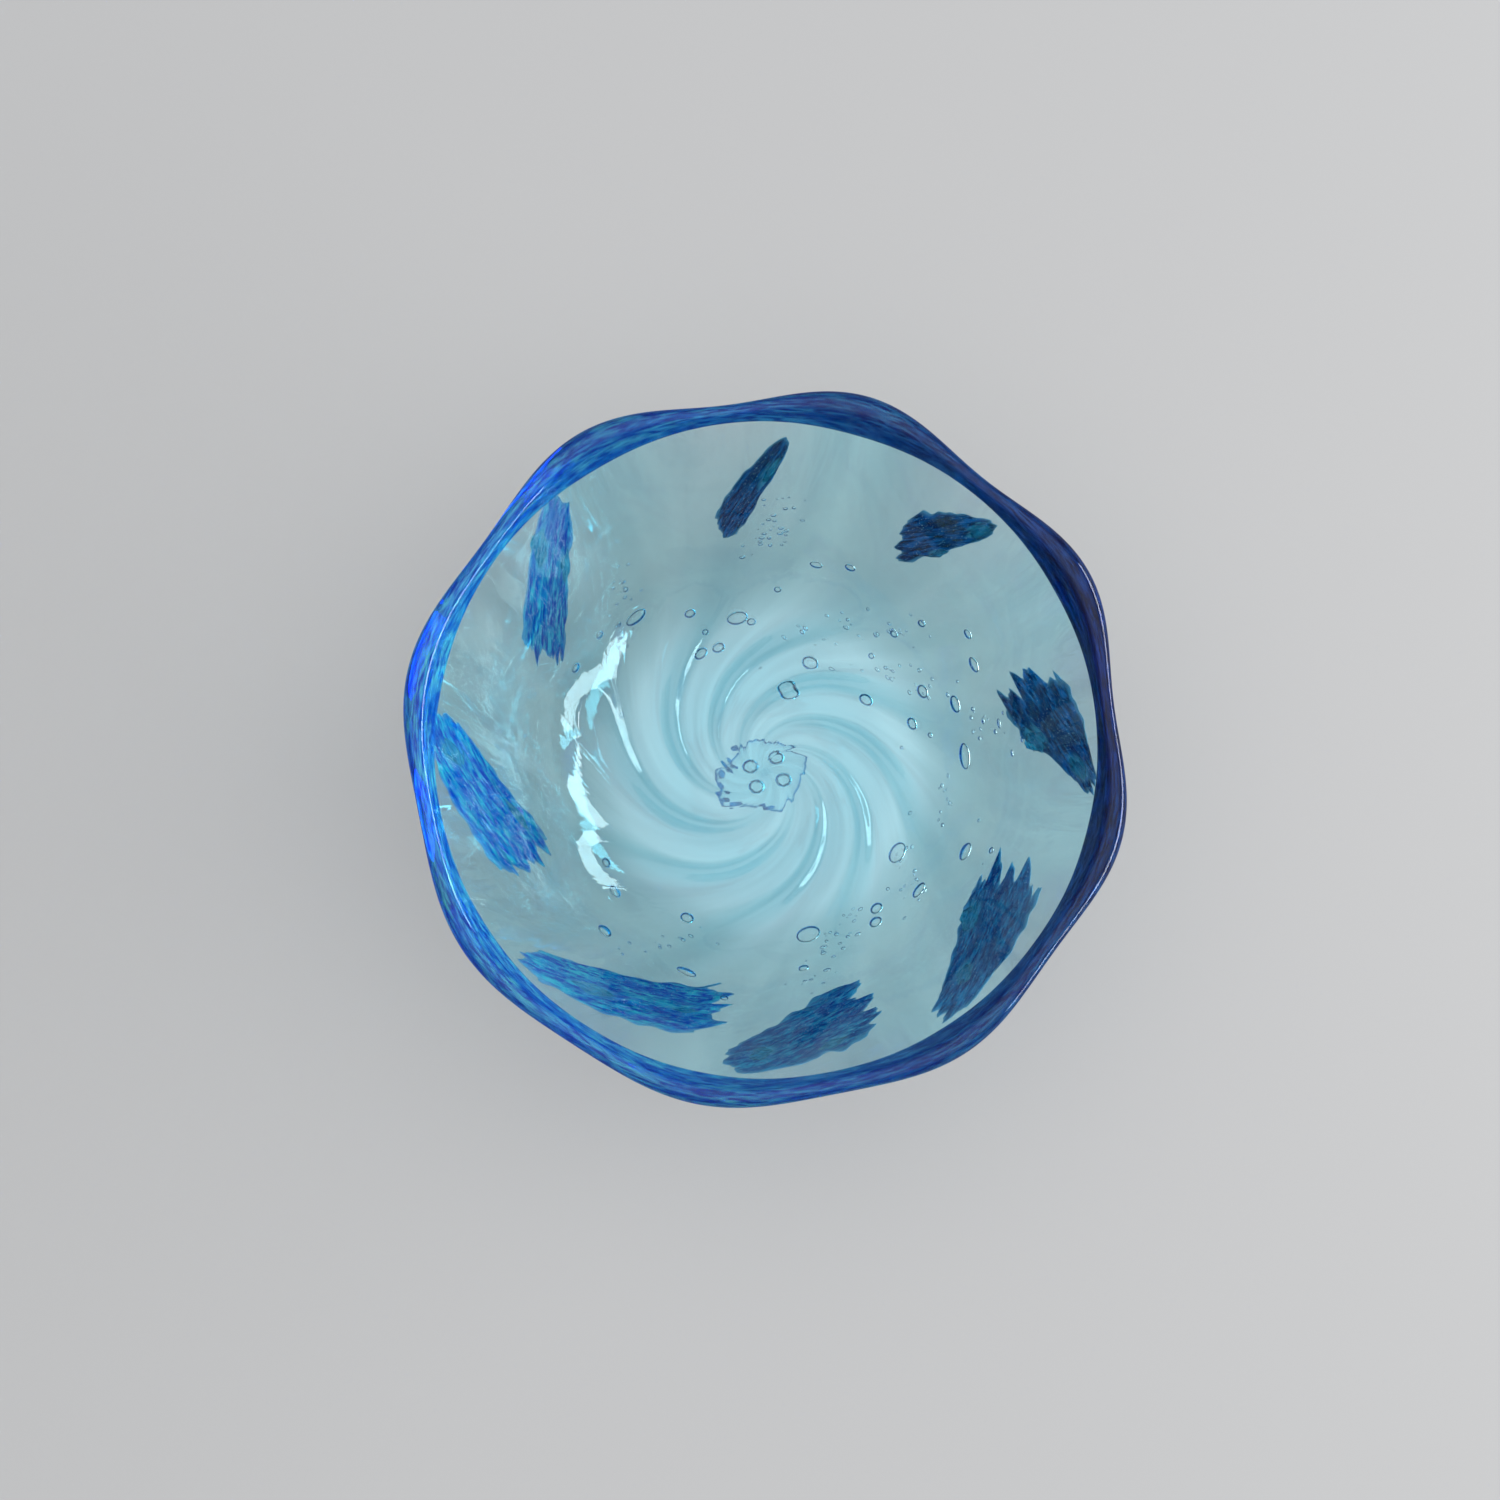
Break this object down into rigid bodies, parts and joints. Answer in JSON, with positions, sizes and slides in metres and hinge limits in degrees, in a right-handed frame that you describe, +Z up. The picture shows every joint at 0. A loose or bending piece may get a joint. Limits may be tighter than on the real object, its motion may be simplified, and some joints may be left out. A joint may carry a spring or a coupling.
{
  "type": "art glass bowl",
  "caption": "Small round glass bowl with a lobed, twisted aqua wall, a blue lip wrap, blue and turquoise chips and a pontil mark.",
  "frame": {"origin": "middle of the foot, on the surface the bowl stands on", "axes": "+Z up through the bowl's mouth; +X and +Y level"},
  "size_m": [0.1309, 0.1308, 0.0505],
  "materials": {
    "aqua_glass": "fire polished, with seeds and bubbles",
    "cobalt_glass": "fire polished, translucent deep blue",
    "turquoise_glass": "fire polished, nearly opaque",
    "pontil_glass": "broken off and left rough"
  },
  "bodies": {
    "root": {"bowl_wall": "aqua_glass", "lip_wrap": "cobalt_glass", "cobalt_chip_1": "cobalt_glass", "cobalt_chip_2": "cobalt_glass", "cobalt_chip_3": "cobalt_glass", "cobalt_chip_4": "cobalt_glass", "cobalt_chip_5": "cobalt_glass", "cobalt_chip_6": "cobalt_glass", "cobalt_chip_7": "cobalt_glass", "cobalt_chip_8": "cobalt_glass", "turquoise_chip_1": "turquoise_glass", "turquoise_chip_2": "turquoise_glass", "turquoise_chip_3": "turquoise_glass", "turquoise_chip_4": "turquoise_glass", "turquoise_chip_5": "turquoise_glass", "turquoise_chip_6": "turquoise_glass", "turquoise_chip_7": "turquoise_glass", "turquoise_chip_8": "turquoise_glass", "pontil_mark": "pontil_glass"}
  },
  "joints": []
}
